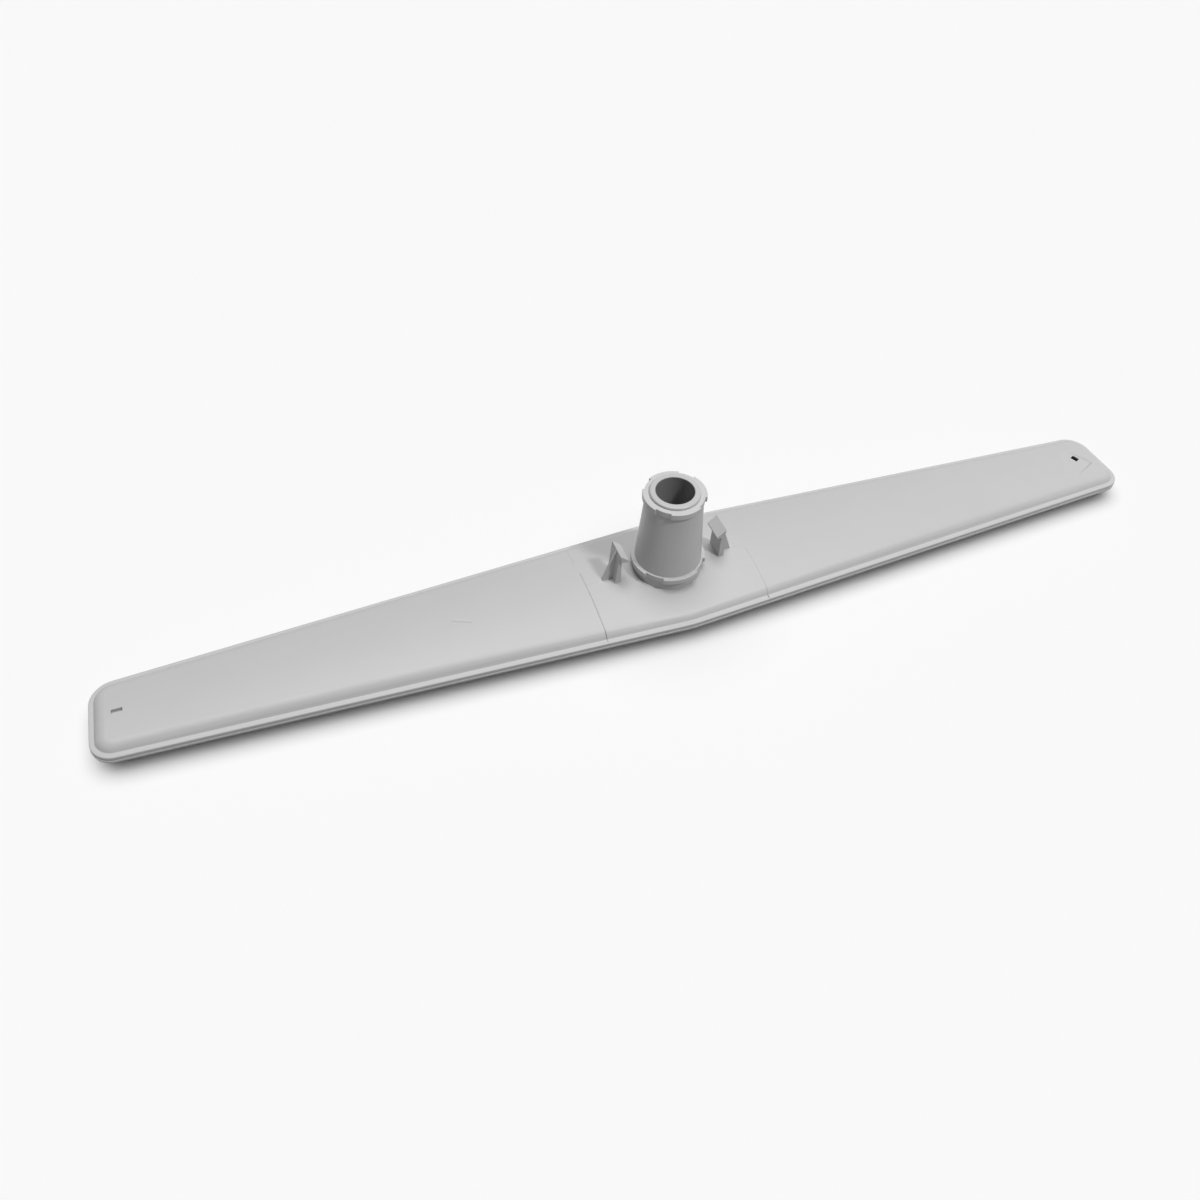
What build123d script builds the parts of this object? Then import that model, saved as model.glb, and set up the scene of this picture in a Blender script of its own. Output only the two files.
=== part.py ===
from build123d import *
from math import cos, radians, sin, sqrt, tan
import os

# Spray arm of a dishwasher. Millimetres, +Z up.
# The arm lies with its nozzle side on the ground and its hub upwards.
# The origin is on the ground under the hub's axis, and X runs along the arm.

# Plan of the arm
arm_length = 480.0
centre_width = 63.0
end_width = 36.8
end_corner_radius = 10.0
waist_radius = 60.0

# Heights and edges of the two shells
tray_depth = 6.9
lower_flange = 1.0
upper_flange = 1.8
upper_setback = 0.3
crown_height = 6.25
crown_fall = 2.6
dome_radius = 102.0
crown_draft = 32.0
wall = 2.0
ledge_width = 2.4
shoulder_radius = 5.0
crease_radius = 0.5
bead_radius = 0.5
seam_radius = 0.3

# The nozzle shell's tray, and the tongue that locates it in the hub shell
tray_inset = 3.0
tray_draft = 20.0
tray_edge_radius = 2.0
hollow_draft = 5.0
tongue_width = 1.3
tongue_height = 0.7
tongue_clearance = 0.15

# Nozzles in the tray, each a slot in a shallow dish
nozzle_first = 70.0
nozzle_pitch = 42.0
nozzle_count = 4
nozzle_offset = 2.5
nozzle_slot_length = 11.0
nozzle_slot_width = 2.6
nozzle_dish_length = 16.0
nozzle_dish_width = 8.0
nozzle_dish_depth = 0.8

# Slot near one end of the hub side, and near the other the drive jet in its recess,
# a quarter disc with its floor falling towards the corner
end_slot_length = 4.2
end_slot_width = 1.7
end_slot_from_end = 11.9
recess_from_end = 11.2
recess_offset = 4.2
recess_turn = 25.0
recess_radius = 13.5
recess_depth = 0.9
recess_draft = 50.0
recess_spread = 90.0
recess_border = 1.0
recess_sink = 0.3
jet_length = 3.4
jet_width = 2.9
jet_from_wall = 2.2
jet_from_corner = 6.9
jet_wall = 0.7
jet_relief = 1.5

# Notches in the rim where the mould's centre insert met the wings
insert_half_length = 37.7
rim_notch_width = 0.5
rim_notch_depth = 0.4

# Hub: a collar on the arm, and a conical sleeve with two lobed flanges
collar_radius = 15.0
collar_height = 4.05
collar_root = 1.2
spigot_radius = 12.55
spigot_clearance = 0.15
base_flange_radius = 16.3
base_notch_radius = 15.2
base_flange_thickness = 2.4
cone_foot_radius = 14.5
cone_top_radius = 12.1
cone_height = 32.9
top_flange_radius = 13.3
top_notch_radius = 12.5
top_flange_thickness = 2.6
lobe_count = 4
notch_angle = 30.0
flange_edge_radius = 0.35

# Snap tabs under the spigot, and the ring seal round it
tab_reach = 1.05
tab_height = 2.0
tab_gap = 0.2
tab_angle = 30.0
spigot_slit_width = 1.2
seal_section = 1.45
seal_slack = 0.02

# Bush that the arm turns on
bore_radius = 8.0
bush_wall = 1.6
bush_length = 26.0
bush_clearance = 0.08
lip_radius = 10.6
lip_height = 1.1
lip_gap = 0.15
lip_edge_radius = 0.8
bore_edge_radius = 0.3
barb_reach = 0.8
barb_height = 1.8
barb_room = 0.5
slit_width = 1.6
slit_depth = 9.0

# Snap hooks beside the hub
hook_catch_radius = 20.5
hook_catch_height = 13.65
hook_head_run = 3.85
hook_head_rise = 3.5
hook_nose_land = 0.6
hook_back_land = 1.4
hook_head_length = 10.0
hook_face_radius = 23.3
hook_post_foot = 2.6
hook_post_length = 9.0
hook_post_shift = 0.6
hook_rib_reach = 4.6
hook_rib_thickness = 1.5

# Levels and radii that follow from the sizes above
half_length = arm_length / 2
seam_level = tray_depth + lower_flange
ledge_level = seam_level + upper_flange
crown_level = ledge_level + crown_height
ceiling_level = crown_level - wall
collar_foot_level = ceiling_level - collar_root
collar_level = crown_level + collar_height
cone_level = collar_level + base_flange_thickness
cone_top_level = cone_level + cone_height
sleeve_level = cone_top_level + top_flange_thickness
lip_foot_level = sleeve_level + lip_gap
lip_level = lip_foot_level + lip_height
spigot_foot_level = collar_foot_level - tab_gap - tab_height
bush_foot_level = lip_foot_level - bush_length
seat_foot_level = bush_foot_level + barb_height + lip_gap
tongue_level = seam_level + tongue_height

hollow_inset = ledge_width + wall
tongue_inset = hollow_inset + tongue_clearance
collar_bore_radius = spigot_radius + spigot_clearance
gland_radius = spigot_radius + seal_section
bush_radius = bore_radius + bush_wall
seat_radius = bush_radius + bush_clearance
barb_radius = bush_radius + barb_reach
relief_radius = barb_radius + barb_room


def arm_outline(inset):
    """The arm's plan, drawn in by inset from its edge."""
    with BuildSketch() as outline:
        with BuildLine():
            Polyline(
                (-half_length, -end_width / 2),
                (0, -centre_width / 2),
                (half_length, -end_width / 2),
                (half_length, end_width / 2),
                (0, centre_width / 2),
                (-half_length, end_width / 2),
                close=True,
            )
        make_face()
        fillet(outline.vertices().group_by(Axis.X)[1], waist_radius)
        fillet(outline.vertices().group_by(Axis.X)[0], end_corner_radius)
        fillet(outline.vertices().group_by(Axis.X)[-1], end_corner_radius)
        if inset > 0:
            offset(amount=-inset)
    return outline.sketch


def over_crown(drop):
    """The space above the crown's surface, less a drop.

    The surface is domed across the arm and falls gently to both ends.
    """
    side = centre_width / 2
    side_drop = dome_radius - sqrt(dome_radius**2 - side**2)
    with BuildPart() as space:
        for end in (-1, 0, 1):
            top = crown_level - drop - crown_fall * end**2
            with BuildSketch(Plane.YZ.offset(end * half_length)):
                with BuildLine():
                    dome = ThreePointArc((-side, top - side_drop), (0, top), (side, top - side_drop))
                    roof = crown_level + crown_height
                    Polyline(dome @ 1, (side, roof), (-side, roof), dome @ 0)
                make_face()
        loft()
    return space.part


def crown_shape(plan, foot, drop):
    """A drafted block on a plan, from its foot up to the crown's surface less a drop."""
    space = over_crown(drop)
    with BuildPart() as block:
        with BuildSketch(Plane.XY.offset(foot)):
            add(plan)
        extrude(amount=crown_height, taper=crown_draft)
        add(space, mode=Mode.SUBTRACT)
    return block.part


def quarter_disc(border):
    """The recess's plan, its corner at the origin, widened by a border."""
    with BuildSketch() as disc:
        with BuildLine():
            arc = CenterArc((0, 0), recess_radius, -recess_spread / 2, recess_spread)
            Polyline(arc @ 1, (0, 0), arc @ 0)
        make_face()
        if border > 0:
            offset(amount=border, kind=Kind.INTERSECTION)
    return disc.sketch


def edge_notches(notch_radius):
    """Equal notches in a flange, on the diagonals, down to a radius."""
    reach = 2 * base_flange_radius
    half_width = reach * tan(radians(notch_angle / 2))
    with BuildSketch() as notches:
        with PolarLocations(0, lobe_count, start_angle=180 / lobe_count):
            Polygon((0, 0), (reach, -half_width), (reach, half_width), align=None)
        Circle(notch_radius, mode=Mode.SUBTRACT)
    return notches.sketch


lower_rim_plan = arm_outline(0)
upper_rim_plan = arm_outline(upper_setback)
crown_plan = arm_outline(ledge_width)
hollow_plan = arm_outline(hollow_inset)
tongue_plan = arm_outline(tongue_inset)
floor_plan = arm_outline(tongue_inset + tongue_width)
tray_plan = arm_outline(tray_inset)

recess_outline = quarter_disc(0)
recess_backing = quarter_disc(recess_border)
crown_block = crown_shape(crown_plan, ledge_level, 0)
hollow_level = ledge_level - wall / 2
hollow_block = crown_shape(hollow_plan, hollow_level, wall)

# Hub-side shell: rim, crown, collar and snap hooks moulded in one
with BuildPart() as upper_shell:
    add(crown_block)
    dome = upper_shell.faces().sort_by(Axis.Z)[-1]
    fillet(dome.edges(), shoulder_radius)
    with BuildSketch(Plane.XY.offset(seam_level)):
        add(upper_rim_plan)
    extrude(amount=upper_flange)
    ledge = upper_shell.faces().filter_by(Axis.Z).sort_by(Axis.Z)[-1]
    fillet(ledge.inner_wires()[0].edges(), crease_radius)
    ledge = upper_shell.faces().filter_by(Axis.Z).sort_by(Axis.Z)[-1]
    fillet(ledge.outer_wire().edges(), bead_radius)
    seam = upper_shell.faces().sort_by(Axis.Z)[0]
    fillet(seam.outer_wire().edges(), seam_radius)
    with BuildSketch(Plane.XY.offset(seam_level)):
        add(hollow_plan)
    extrude(amount=hollow_level - seam_level, mode=Mode.SUBTRACT)
    add(hollow_block, mode=Mode.SUBTRACT)

    # Collar for the hub's spigot, with the seal's gland at its mouth
    with BuildSketch(Plane.XY.offset(collar_foot_level)):
        Circle(collar_radius)
        Circle(collar_bore_radius, mode=Mode.SUBTRACT)
    extrude(amount=collar_level - collar_foot_level)
    with BuildSketch(Plane.XY.offset(collar_foot_level)):
        Circle(collar_bore_radius)
    extrude(amount=collar_level - collar_foot_level, mode=Mode.SUBTRACT)
    with BuildSketch(Plane.XY.offset(collar_level)):
        Circle(gland_radius)
    extrude(amount=-seal_section, mode=Mode.SUBTRACT)

    # Snap hooks on both sides of the hub: head, post and a rib behind
    hook_foot_level = crown_level - wall / 2
    nose_level = crown_level + hook_catch_height
    head_level = nose_level + hook_head_rise
    catch_level = nose_level - hook_nose_land
    head_radius = hook_catch_radius + hook_head_run
    post_foot_radius = hook_face_radius + hook_post_foot
    with BuildSketch(Plane.XZ):
        Polygon(
            (hook_catch_radius, nose_level),
            (head_radius, head_level),
            (head_radius, head_level - hook_back_land),
            (hook_face_radius, catch_level),
            (hook_catch_radius, catch_level),
            align=None,
        )
        mirror(about=Plane.YZ)
    extrude(amount=hook_head_length / 2, both=True)
    with BuildSketch(Plane.XZ.offset(-hook_post_shift)):
        Polygon(
            (hook_face_radius, hook_foot_level),
            (post_foot_radius, hook_foot_level),
            (head_radius, head_level),
            (hook_face_radius, catch_level),
            align=None,
        )
        mirror(about=Plane.YZ)
    extrude(amount=hook_post_length / 2, both=True)
    with BuildSketch(Plane.XZ):
        Polygon(
            (hook_face_radius, hook_foot_level),
            (post_foot_radius + hook_rib_reach, hook_foot_level),
            (post_foot_radius + hook_rib_reach, crown_level),
            (head_radius, head_level),
            align=None,
        )
        mirror(about=Plane.YZ)
    extrude(amount=hook_rib_thickness / 2, both=True)

    # Slot near one end
    with BuildSketch(Plane.XY.offset(crown_level)):
        with Locations((end_slot_from_end - half_length, 0)):
            Rectangle(end_slot_length, end_slot_width)
    extrude(amount=-2 * wall, mode=Mode.SUBTRACT)

    # Recess near the other end, with the drive jet in its floor beside one wall
    corner_x = half_length - recess_from_end
    corner_level = crown_level - crown_fall * (corner_x / half_length) ** 2
    middle_turn = radians(180 - recess_spread / 2 + recess_turn)
    slope = recess_depth / recess_radius
    recess_floor = Plane(
        origin=(corner_x, -recess_offset, corner_level - recess_depth),
        x_dir=(cos(middle_turn), sin(middle_turn), slope),
        z_dir=(-slope * cos(middle_turn), -slope * sin(middle_turn), 1),
    )
    with BuildSketch(recess_floor.offset(-recess_sink)):
        add(recess_backing)
    extrude(amount=-wall)
    with BuildSketch(recess_floor):
        add(recess_outline)
    extrude(amount=recess_depth + wall, taper=-recess_draft, mode=Mode.SUBTRACT)
    jet_place = Location((0, 0), -recess_spread / 2) * Pos(jet_from_corner, jet_from_wall)
    with BuildSketch(recess_floor):
        with Locations(jet_place):
            Rectangle(jet_length, jet_width)
    extrude(amount=-crown_height, mode=Mode.SUBTRACT)
    with BuildSketch(recess_floor.offset(-jet_wall)):
        with Locations(jet_place):
            Rectangle(jet_length + 2 * jet_relief, jet_width + 2 * jet_relief)
    extrude(amount=-crown_height, mode=Mode.SUBTRACT)

    # Notches in the rim, one on each wing
    rim_taper = (centre_width - end_width) / arm_length
    notch_y = centre_width / 2 - rim_taper * insert_half_length
    with BuildSketch(Plane.XY.offset(seam_level)):
        with Locations((-insert_half_length, -notch_y), (insert_half_length, -notch_y)):
            Rectangle(rim_notch_width, 2 * rim_notch_depth)
    extrude(amount=upper_flange, mode=Mode.SUBTRACT)

# Nozzle-side shell: rim, tray and the tongue that locates it
with BuildPart() as lower_shell:
    with BuildSketch(Plane.XY.offset(tray_depth)):
        add(tray_plan)
    extrude(amount=-tray_depth, taper=tray_draft)
    underside = lower_shell.faces().sort_by(Axis.Z)[0]
    fillet(underside.edges(), tray_edge_radius)
    with BuildSketch(Plane.XY.offset(tray_depth)):
        add(lower_rim_plan)
    extrude(amount=lower_flange)
    fillet(lower_shell.edges().group_by(Axis.Z)[-1], seam_radius / 2)
    with BuildSketch(Plane.XY.offset(seam_level)):
        add(tongue_plan)
    extrude(amount=tongue_height)
    with BuildSketch(Plane.XY.offset(tongue_level)):
        add(floor_plan)
    extrude(amount=wall - tongue_level, taper=hollow_draft, mode=Mode.SUBTRACT)

    nozzle_places = [
        (side * (nozzle_first + step * nozzle_pitch), side * nozzle_offset * (-1) ** step)
        for side in (-1, 1)
        for step in range(nozzle_count)
    ]
    with BuildSketch():
        with Locations(*nozzle_places):
            SlotOverall(nozzle_dish_length, nozzle_dish_width, rotation=90)
    extrude(amount=nozzle_dish_depth, mode=Mode.SUBTRACT)
    with BuildSketch():
        with Locations(*nozzle_places):
            SlotOverall(nozzle_slot_length, nozzle_slot_width, rotation=90)
    extrude(amount=2 * wall, mode=Mode.SUBTRACT)

# One of the tabs that snap under the arm's ceiling
with BuildPart() as snap_tab:
    with BuildSketch(Plane.XZ):
        Polygon(
            (relief_radius, spigot_foot_level),
            (spigot_radius, spigot_foot_level),
            (spigot_radius + tab_reach, spigot_foot_level + tab_height),
            (relief_radius, spigot_foot_level + tab_height),
            align=None,
        )
    revolve(axis=Axis.Z, revolution_arc=tab_angle)

# Conical sleeve of the hub, from its spigot up to the flange under the bush's lip
with BuildPart() as hub_sleeve:
    with BuildSketch(Plane.XY.offset(collar_level)):
        Circle(base_flange_radius)
        add(edge_notches(base_notch_radius), mode=Mode.SUBTRACT)
    extrude(amount=base_flange_thickness)
    fillet(hub_sleeve.edges().group_by(Axis.Z)[-1], flange_edge_radius)
    with BuildSketch(Plane.XY.offset(cone_top_level)):
        Circle(top_flange_radius)
        add(edge_notches(top_notch_radius), mode=Mode.SUBTRACT)
    extrude(amount=top_flange_thickness)
    fillet(hub_sleeve.edges().group_by(Axis.Z)[-1], flange_edge_radius)
    with BuildSketch(Plane.XZ):
        Polygon(
            (0, spigot_foot_level),
            (spigot_radius, spigot_foot_level),
            (spigot_radius, collar_level),
            (cone_foot_radius, cone_level),
            (cone_top_radius, cone_top_level),
            (0, cone_top_level),
            align=None,
        )
    revolve(axis=Axis.Z)
    with PolarLocations(0, lobe_count, start_angle=-tab_angle / 2):
        add(snap_tab.part)
    with BuildSketch(Plane.XZ):
        Polygon(
            (0, spigot_foot_level),
            (relief_radius, spigot_foot_level),
            (relief_radius, seat_foot_level),
            (seat_radius, seat_foot_level),
            (seat_radius, sleeve_level),
            (0, sleeve_level),
            align=None,
        )
    revolve(axis=Axis.Z, mode=Mode.SUBTRACT)
    with BuildSketch(Plane.XY.offset(spigot_foot_level)):
        Rectangle(4 * spigot_radius, spigot_slit_width, rotation=45)
        Rectangle(4 * spigot_radius, spigot_slit_width, rotation=-45)
    extrude(amount=collar_root + tab_height, mode=Mode.SUBTRACT)

# Ring seal in the collar's gland, round the spigot
with BuildPart() as hub_seal:
    with Locations((0, 0, collar_level - seal_section / 2)):
        Torus(spigot_radius + seal_section / 2, seal_section / 2 - seal_slack)

# Bush with a lip on top and four barbed fingers at its foot
with BuildPart() as bearing_bush:
    with BuildSketch(Plane.XZ):
        Polygon(
            (bore_radius, bush_foot_level),
            (bush_radius, bush_foot_level),
            (barb_radius, bush_foot_level + barb_height / 2),
            (barb_radius, bush_foot_level + barb_height),
            (bush_radius, bush_foot_level + barb_height),
            (bush_radius, lip_foot_level),
            (lip_radius, lip_foot_level),
            (lip_radius, lip_level),
            (bore_radius, lip_level),
            align=None,
        )
    revolve(axis=Axis.Z)
    lip_edges = bearing_bush.edges().group_by(Axis.Z)[-1].sort_by(SortBy.RADIUS)
    fillet(lip_edges[-1], lip_edge_radius)
    fillet(lip_edges[0], bore_edge_radius)
    with BuildSketch(Plane.XY.offset(bush_foot_level)):
        Rectangle(4 * bush_radius, slit_width)
        Rectangle(slit_width, 4 * bush_radius)
    extrude(amount=slit_depth, mode=Mode.SUBTRACT)

upper_shell.part.label = "upper_shell"
lower_shell.part.label = "lower_shell"
hub_sleeve.part.label = "hub_sleeve"
hub_seal.part.label = "hub_seal"
bearing_bush.part.label = "bearing_bush"

os.makedirs("parts", exist_ok=True)
export_step(upper_shell.part, "parts/upper_shell.step")
export_step(lower_shell.part, "parts/lower_shell.step")
export_step(hub_sleeve.part, "parts/hub_sleeve.step")
export_step(hub_seal.part, "parts/hub_seal.step")
export_step(bearing_bush.part, "parts/bearing_bush.step")
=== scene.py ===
import math
import bpy
from mathutils import Matrix, Vector


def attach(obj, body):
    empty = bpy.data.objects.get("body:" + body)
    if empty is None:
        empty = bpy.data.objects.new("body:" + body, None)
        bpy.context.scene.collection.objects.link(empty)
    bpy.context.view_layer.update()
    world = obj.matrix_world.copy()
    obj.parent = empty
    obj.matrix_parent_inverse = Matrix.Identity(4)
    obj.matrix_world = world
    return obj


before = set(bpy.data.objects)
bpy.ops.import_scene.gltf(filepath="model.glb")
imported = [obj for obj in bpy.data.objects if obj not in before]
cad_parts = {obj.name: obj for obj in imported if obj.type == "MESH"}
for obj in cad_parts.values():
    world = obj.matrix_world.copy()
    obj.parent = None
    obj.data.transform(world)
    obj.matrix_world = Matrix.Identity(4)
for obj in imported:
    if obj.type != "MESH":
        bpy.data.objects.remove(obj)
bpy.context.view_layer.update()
print("spray arm loaded")

# the picture's own view, in metres and degrees
viewPoint = {
    "place": (-0.13083, -0.24497, 0.31332),
    "aim": (-0.03335, -0.00593, 0.01017),
    "roll": 2.344,
    "lens": 27.638,
    "sensor": 36.0,
    "nearest": 0.01,
    "farthest": 40.0,
}


def addCamera(setup):
    data = bpy.data.cameras.new("tableCamera")
    data.lens = setup["lens"]
    data.sensor_width = setup["sensor"]
    data.clip_start = setup["nearest"]
    data.clip_end = setup["farthest"]
    camera = bpy.data.objects.new("tableCamera", data)
    bpy.context.scene.collection.objects.link(camera)
    place = Vector(setup["place"])
    look = (Vector(setup["aim"]) - place).to_track_quat("-Z", "Y").to_matrix()
    tilt = Matrix.Rotation(math.radians(setup["roll"]), 3, "Z")
    camera.matrix_world = Matrix.Translation(place) @ (look @ tilt).to_4x4()
    bpy.context.scene.camera = camera


class Wire:  # one socket; sums and products of wires add Math nodes
    def __init__(self, tree, socket=None):
        self.tree = tree
        self.socket = socket

    def node(self, kind, settings=None, links=None, output=0):
        made = self.tree.nodes.new("ShaderNode" + kind)
        for name, value in (settings or {}).items():
            setattr(made, name, value)
        for name, value in (links or {}).items():
            if isinstance(value, Wire):
                self.tree.links.new(value.socket, made.inputs[name])
            else:
                made.inputs[name].default_value = value
        return Wire(self.tree, made.outputs[output])

    def maths(self, operation, first, second=0.0):
        return self.node("Math", {"operation": operation}, {0: first, 1: second})

    def __add__(self, other):
        return self.maths("ADD", self, other)

    def __sub__(self, other):
        return self.maths("SUBTRACT", self, other)

    def __rsub__(self, other):
        return self.maths("SUBTRACT", other, self)

    def __mul__(self, other):
        return self.maths("MULTIPLY", self, other)

    def __abs__(self):
        return self.maths("ABSOLUTE", self)

    __radd__ = __add__

    def band(self, low, high):  # 0 below low, 1 above high, smooth between
        links = {"Value": self, "From Min": low, "From Max": high}
        return self.node("MapRange", {"interpolation_type": "SMOOTHSTEP"}, links)

    def clamp(self):
        return self.node("Clamp", {}, {"Value": self})

    def grey(self):
        return self.node("CombineColor", {}, {"Red": self, "Green": self, "Blue": self})


def startFinish(name):
    made = bpy.data.materials.new(name)
    made.use_nodes = True
    start = Wire(made.node_tree)
    return made, start, start.node("TexCoord", output="Object")


def closeFinish(made, look, tone, rough, height):
    links = made.node_tree.links
    shader = made.node_tree.nodes["Principled BSDF"]
    bump = height.node("Bump", {}, {"Height": height, "Distance": 1.0, "Strength": 1.0})
    links.new(tone.grey().socket, shader.inputs["Base Color"])
    links.new(rough.socket, shader.inputs["Roughness"])
    links.new(bump.socket, shader.inputs["Normal"])
    shader.inputs["IOR"].default_value = look["ior"]
    return made


def axisOf(start, place, axis):
    return start.node("SeparateXYZ", {}, {"Vector": place}, axis)


def grain(start, place, size, detail=3.0, stretch=(1.0, 1.0, 1.0), roughness=0.55):
    # noise whose lumps are about size metres across
    laid = start.node("Mapping", {}, {"Vector": place, "Scale": stretch})
    links = {"Vector": laid, "Scale": 1.0 / size, "Detail": detail, "Roughness": roughness}
    return start.node("TexNoise", {}, links)


def middle(first, last):
    return [(a + b) / 2 for a, b in zip(first, last)]


def scratch(start, place, first, last, width):
    # 1 along the straight line from first to last, 0 beside it
    run = [b - a for a, b in zip(first, last)]
    length = math.hypot(*run)
    turn = math.atan2(run[1], run[0])
    centre = middle(first, last)
    # Mapping turns first and then shifts, so the shift is worked out here
    cosT, sinT = math.cos(-turn), math.sin(-turn)
    shiftX = -(cosT * centre[0] - sinT * centre[1])
    shiftY = -(sinT * centre[0] + cosT * centre[1])
    links = {"Vector": place, "Rotation": (0.0, 0.0, -turn), "Location": (shiftX, shiftY, 0.0)}
    laid = start.node("Mapping", {}, links)
    # each end fades over a tenth of the length, and the sides over most of the width
    inside = 1 - abs(axisOf(start, laid, "X")).band(length * 0.4, length * 0.5)
    return inside * (1 - abs(axisOf(start, laid, "Y")).band(width * 0.2, width))


# the shells' pale grey moulded plastic
shellLook = {
    "shade": 0.535,
    "mottle": 0.012,
    "mottleSize": 0.030,
    "flowSize": 0.004,  # the plastic flowed along the arm, so these lumps are drawn out along X
    "flowStretch": (0.12, 1.0, 1.0),
    "flowHeight": 0.000010,
    "grainSize": 0.00035,
    "grainHeight": 0.000012,
    "speckSize": 0.0009,
    "speckBand": (0.70, 0.78),
    "speckShade": 0.02,
    "roughness": 0.46,
    "roughnessSpread": 0.05,
    "ior": 1.48,
    "scratchesAndHighlight": (  # start, end, width and how much darker
        ((-0.0977, -0.0006), (-0.0889, -0.0044), 0.00045, 0.085),
        # this lighter entry is a painted highlight along the lit edge of the first scratch
        ((-0.0972, 0.0004), (-0.0893, -0.0030), 0.00035, -0.035),
        ((-0.0814, -0.0004), (-0.0783, -0.0049), 0.00025, 0.030),
    ),
    "scratchLevels": (0.010, 0.012),  # none below the first level
    "scratchRoughness": 1.5,
    "scratchDepth": 0.0004,
}


def shellFinish(look, name):
    made, start, place = startFinish(name)
    clouds = grain(start, place, look["mottleSize"], 4.0) - 0.5
    flow = grain(start, place, look["flowSize"], 3.0, look["flowStretch"]) - 0.5
    fine = grain(start, place, look["grainSize"], 2.0)
    specks = grain(start, place, look["speckSize"], 1.0).band(*look["speckBand"])
    scoredAndHighlit = 0.0
    for first, last, width, depth in look["scratchesAndHighlight"]:
        scoredAndHighlit = scratch(start, place, first, last, width) * depth + scoredAndHighlit
    scoredAndHighlit = scoredAndHighlit * axisOf(start, place, "Z").band(*look["scratchLevels"])
    tone = clouds * (look["mottle"] * 2) + flow * look["mottle"] + look["shade"]
    # scored darkens the scratch lines and lightens a painted highlight beside the first one
    tone = tone - specks * look["speckShade"] - scoredAndHighlit
    rough = clouds * look["roughnessSpread"] + flow * look["roughnessSpread"]
    rough = rough + look["roughness"] + abs(scoredAndHighlit) * look["scratchRoughness"]
    height = fine * look["grainHeight"] + flow * look["flowHeight"]
    height = height - abs(scoredAndHighlit) * look["scratchDepth"]
    return closeFinish(made, look, tone, rough, height)


# the hub's plastic is the same kind and smoother, and its colour is painted a little lighter than
# the shell's as painted light on its cone and rings
hubLook = {
    "shade": 0.58,
    "mottle": 0.012,
    "mottleSize": 0.012,
    "grainSize": 0.00030,
    "grainHeight": 0.000008,
    "roughness": 0.40,
    "roughnessSpread": 0.06,
    "ior": 1.48,
    "dragScale": 14.3312,  # about 90 marks round the cone
    "dragClimb": 6.0,
    "dragShade": 0.02,
    "dragHeight": 0.000010,
    "coneFoot": (0.023, 0.026),
    "coneTop": (0.053, 0.055),
}


def hubFinish(look, name):
    made, start, place = startFinish(name)
    x, y, z = [axisOf(start, place, axis) for axis in "XYZ"]
    clouds = grain(start, place, look["mottleSize"], 4.0) - 0.5
    fine = grain(start, place, look["grainSize"], 2.0)
    # draw marks run up the cone, where the tool slid off it
    angle = start.maths("ARCTAN2", y, x)
    turned = start.node("CombineXYZ", {}, {"X": angle, "Y": z * look["dragClimb"], "Z": 0.0})
    links = {"Vector": turned, "Scale": look["dragScale"], "Detail": 2.0}
    marks = start.node("TexNoise", {}, links)
    onCone = z.band(*look["coneFoot"]) * (1 - z.band(*look["coneTop"]))
    tone = clouds * (look["mottle"] * 2) + (marks - 0.5) * onCone * look["dragShade"]
    tone = tone + look["shade"]
    rough = clouds * look["roughnessSpread"] + look["roughness"]
    height = fine * look["grainHeight"] + marks * onCone * look["dragHeight"]
    return closeFinish(made, look, tone, rough, height)


# the bearing bush, polished by the pin it runs on, its deep bore painted darker as painted shade
bushLook = {
    "shade": 0.54,
    "paintedBoreShade": 0.32,
    "boreEdge": (0.0080, 0.0084),
    "borePolish": 0.10,
    "mottle": 0.03,
    "mottleSize": 0.006,
    "roughness": 0.33,
    "roughnessSpread": 0.08,
    "ior": 1.48,
    "ringPitch": 0.0006,
    "ringHeight": 0.000006,
    "ringBreakSize": 0.0025,
    "grainSize": 0.0003,
    "grainHeight": 0.000006,
}


def bushFinish(look, name):
    made, start, place = startFinish(name)
    x, y, z = [axisOf(start, place, axis) for axis in "XYZ"]
    radius = start.maths("SQRT", x * x + y * y)
    # 1 inside the bore: painted shade darkens it there, and the pin's polish makes it smoother
    boreShadeAndPolish = 1 - radius.band(*look["boreEdge"])
    clouds = grain(start, place, look["mottleSize"]) - 0.5
    rings = start.maths("SINE", z * (2 * math.pi / look["ringPitch"]))
    uneven = grain(start, place, look["ringBreakSize"], 2.0)
    tone = clouds * look["mottle"] + look["shade"]
    # the bore's darker colour is painted shade inside the deep bore
    tone = tone + boreShadeAndPolish * (look["paintedBoreShade"] - look["shade"])
    rough = clouds * look["roughnessSpread"] + look["roughness"] - boreShadeAndPolish * look["borePolish"]
    height = rings * uneven * boreShadeAndPolish * look["ringHeight"]
    height = height + grain(start, place, look["grainSize"]) * look["grainHeight"]
    return closeFinish(made, look, tone, rough, height)


# the seal's black rubber
sealLook = {
    "shade": 0.022,
    "bloom": 0.015,
    "bloomSize": 0.003,
    "bloomBand": (0.55, 0.75),
    "roughness": 0.62,
    "roughnessSpread": 0.15,
    "grainSize": 0.0002,
    "grainHeight": 0.000010,
    "ior": 1.5,
}


def sealFinish(look, name):
    made, start, place = startFinish(name)
    clouds = grain(start, place, look["bloomSize"], 4.0)
    tone = clouds.band(*look["bloomBand"]) * look["bloom"] + look["shade"]
    rough = clouds * look["roughnessSpread"] + look["roughness"]
    height = grain(start, place, look["grainSize"]) * look["grainHeight"]
    return closeFinish(made, look, tone, rough, height)


# shared by all the mould lines; the levels part the crown's top from its slope and the ledge
lineLook = {
    "topLevels": (0.0122, 0.0134),
    "ledgeLevels": (0.0098, 0.0101),
    "dirtSize": 0.0015,
    "dirtShade": 0.10,
    "dirtHeight": 0.00002,
    "roughness": 0.55,
    "roughnessSpread": 0.2,
    "ior": 1.48,
    "step": 0.00025,
    "dropFrom": 0.040,
    "sink": 0.00002,
}
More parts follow.
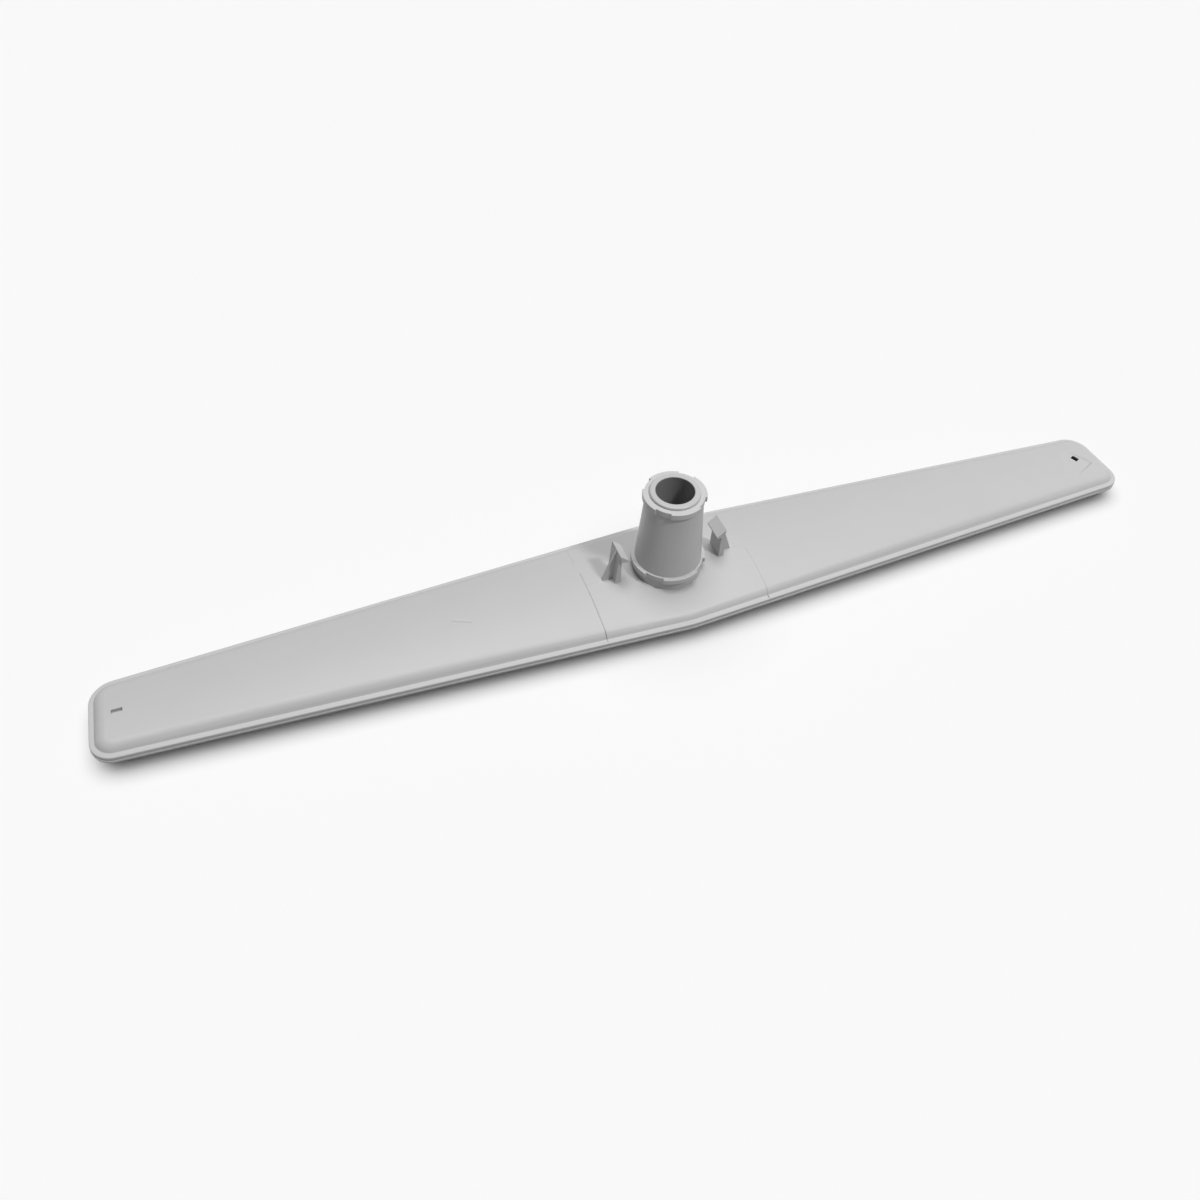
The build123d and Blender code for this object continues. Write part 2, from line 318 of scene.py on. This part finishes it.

# the raised lines where two blocks of the mould met; their darker colour is painted shade of the
# step's side turned from the light, darker on the crown's slope, and the right line's dark mark
# on the ledge is painted shade in a gap there, with a little dirt noise added
mouldLines = (
    {"name": "mouldLineLeft", "start": (-0.0380, -0.0287), "end": (-0.0380, 0.0070),
     "width": 0.00050, "rise": 0.00012, "shade": 0.43, "slopeShade": 0.24, "ledgeShade": 0.46},
    {"name": "mouldLineRear", "start": (-0.0384, 0.0135), "end": (-0.0384, 0.0235),
     "width": 0.00035, "rise": 0.00006, "shade": 0.47, "slopeShade": 0.45, "ledgeShade": 0.50},
    {"name": "mouldLineRight", "start": (0.0372, -0.0287), "end": (0.0372, -0.0030),
     "width": 0.00045, "rise": 0.00008, "shade": 0.49, "slopeShade": 0.42, "ledgeShade": 0.16},
    {"name": "mouldLinkLeft", "start": (-0.0378, -0.0006), "end": (-0.0312, -0.0006),
     "width": 0.00035, "rise": 0.00006, "shade": 0.50, "slopeShade": 0.50, "ledgeShade": 0.50},
    {"name": "mouldLinkRight", "start": (0.0312, -0.0006), "end": (0.0370, -0.0006),
     "width": 0.00035, "rise": 0.00006, "shade": 0.48, "slopeShade": 0.48, "ledgeShade": 0.48},
)


def lineFinish(line, look):
    made, start, place = startFinish(line["name"] + "Finish")
    z = axisOf(start, place, "Z")
    dirt = grain(start, place, look["dirtSize"], 4.0) - 0.5
    onTop = z.band(*look["topLevels"])
    onLedge = 1 - z.band(*look["ledgeLevels"])
    # the darker tones, deepest on the slope and on the right line's ledge, are painted shade; the
    # dirt noise is added on top
    tone = onTop * (line["shade"] - line["slopeShade"]) + line["slopeShade"]
    tone = tone + onLedge * (line["ledgeShade"] - line["slopeShade"]) + dirt * look["dirtShade"]
    rough = dirt * look["roughnessSpread"] + look["roughness"]
    return closeFinish(made, look, tone, rough, dirt * look["dirtHeight"])


def liftPoints(piece, wanted, lift):
    bpy.ops.object.mode_set(mode="EDIT")
    bpy.ops.mesh.select_mode(type="VERT")
    bpy.ops.mesh.select_all(action="DESELECT")
    bpy.ops.object.mode_set(mode="OBJECT")
    for point in piece.data.vertices:
        point.select = wanted(point.co)
    bpy.ops.object.mode_set(mode="EDIT")
    bpy.ops.transform.translate(value=(0.0, 0.0, lift))
    bpy.ops.object.mode_set(mode="OBJECT")


def addMouldLine(line, look, shell):
    # a narrow strip laid on the shell, its middle raised and its edges just under the surface
    run = [b - a for a, b in zip(line["start"], line["end"])]
    centre = middle(line["start"], line["end"])
    across = 0 if abs(run[1]) > abs(run[0]) else 1
    along = 1 - across
    steps = [2, 2]
    steps[along] = round(abs(run[along]) / look["step"])
    size = [line["width"], line["width"]]
    size[along] = abs(run[along])
    bpy.ops.object.select_all(action="DESELECT")
    bpy.ops.mesh.primitive_grid_add(x_subdivisions=steps[0], y_subdivisions=steps[1], size=1.0)
    piece = bpy.context.object
    piece.name = line["name"]
    bpy.ops.object.mode_set(mode="EDIT")
    bpy.ops.transform.resize(value=(size[0], size[1], 1.0))
    bpy.ops.transform.translate(value=(centre[0], centre[1], look["dropFrom"]))
    bpy.ops.object.mode_set(mode="OBJECT")
    lay = piece.modifiers.new("lay", "SHRINKWRAP")
    lay.wrap_method = "PROJECT"
    lay.use_project_z = True
    lay.use_positive_direction = False
    lay.use_negative_direction = True
    lay.target = shell
    bpy.ops.object.modifier_apply(modifier="lay")
    inner = line["width"] / 4
    liftPoints(piece, lambda spot: abs(spot[across] - centre[across]) < inner, line["rise"])
    liftPoints(piece, lambda spot: abs(spot[across] - centre[across]) > inner, -look["sink"])
    piece.data.materials.append(lineFinish(line, look))
    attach(piece, "arm")
    piece.select_set(False)


def dress(name, finish):
    piece = bpy.data.objects[name]
    piece.data.materials.clear()
    piece.data.materials.append(finish)


shellPlastic = shellFinish(shellLook, "shellPlastic")
dress("upper_shell", shellPlastic)
dress("lower_shell", shellPlastic)
dress("hub_sleeve", hubFinish(hubLook, "hubPlastic"))
dress("bearing_bush", bushFinish(bushLook, "bushPlastic"))
dress("hub_seal", sealFinish(sealLook, "sealRubber"))
print("finishes laid on")
for line in mouldLines:
    addMouldLine(line, lineLook, bpy.data.objects["upper_shell"])
print("mould lines laid on")

# a near lamp in front on the right and a wide one overhead light only the arm, another wide one
# overhead lights only the floor, and an even sky lights both; share is the part of a level face's
# light that a lamp gives
studio = {
    "floorShade": 0.9473,
    "floorBounce": 0.35,
    "floorSize": 12.0,
    "floorDrop": 0.00005,
    "skyColour": (1.0, 1.0, 1.0, 1.0),
    "skyStrength": 0.07,
    "lamps": (
        {"name": "sideLamp", "lights": "arm", "share": 0.33, "azimuth": -54.0, "height": 57.0,
         "spread": 8.0, "distance": 1.3},
        {"name": "armLamp", "lights": "arm", "share": 0.60, "azimuth": 90.0, "height": 83.0,
         "spread": 34.0, "distance": None},
        {"name": "floorLamp", "lights": "floor", "share": 0.93, "azimuth": 90.0, "height": 87.0,
         "spread": 80.0, "distance": None},
    ),
}


def whiteRays(start):
    # 1 for the rays that see the studio as a white background, 0 for the light it throws back
    seen = start.node("LightPath", output="Is Camera Ray")
    for ray in ("Is Glossy Ray", "Is Transmission Ray"):
        seen = (seen + start.node("LightPath", output=ray)).clamp()
    return seen


def addFloor(look):
    bpy.ops.object.select_all(action="DESELECT")
    place = (0.0, 0.0, -look["floorDrop"])
    bpy.ops.mesh.primitive_plane_add(size=look["floorSize"], location=place)
    floor = bpy.context.object
    floor.name = "studioFloor"
    paper = bpy.data.materials.new("studioPaper")
    paper.use_nodes = True
    face = paper.node_tree.nodes["Principled BSDF"]
    start = Wire(paper.node_tree)
    shade = whiteRays(start) * (look["floorShade"] - look["floorBounce"]) + look["floorBounce"]
    paper.node_tree.links.new(shade.grey().socket, face.inputs["Base Color"])
    face.inputs["Roughness"].default_value = 1.0
    face.inputs["Specular IOR Level"].default_value = 0.0
    floor.data.materials.append(paper)
    return floor


def addLamp(lamp, lit):
    height = math.radians(lamp["height"])
    side = math.radians(lamp["azimuth"])
    flat = math.cos(height)
    beam = Vector((math.cos(side) * flat, math.sin(side) * flat, math.sin(height)))
    strength = math.pi * lamp["share"] / math.sin(height)
    if lamp["distance"]:
        light = bpy.data.lights.new(lamp["name"], "POINT")
        light.energy = 4 * math.pi * lamp["distance"] ** 2 * strength
        light.shadow_soft_size = lamp["distance"] * math.tan(math.radians(lamp["spread"] / 2))
    else:
        light = bpy.data.lights.new(lamp["name"], "SUN")
        light.energy = strength
        light.angle = math.radians(lamp["spread"])
    stand = bpy.data.objects.new(lamp["name"], light)
    bpy.context.scene.collection.objects.link(stand)
    stand.location = beam * (lamp["distance"] or 1.0)
    stand.rotation_mode = "QUATERNION"
    stand.rotation_quaternion = beam.to_track_quat("Z", "Y")
    # the lamp lights only these pieces
    group = bpy.data.collections.new(lamp["name"] + "Pieces")
    for piece in lit:
        group.objects.link(piece)
    stand.light_linking.receiver_collection = group


def addSky(look):
    world = bpy.data.worlds.new("studioSky")
    world.use_nodes = True
    bpy.context.scene.world = world
    sky = world.node_tree.nodes["Background"]
    start = Wire(world.node_tree)
    strength = look["skyStrength"] + whiteRays(start) * (look["floorShade"] - look["skyStrength"])
    world.node_tree.links.new(strength.socket, sky.inputs["Strength"])
    sky.inputs["Color"].default_value = look["skyColour"]


armPieces = [piece for piece in bpy.context.scene.objects if piece.type == "MESH"]
pieceGroups = {"arm": armPieces, "floor": [addFloor(studio)]}
for lamp in studio["lamps"]:
    addLamp(lamp, pieceGroups[lamp["lights"]])
addSky(studio)
bpy.context.scene.view_settings.view_transform = "Standard"
addCamera(viewPoint)
print("studio and camera set")
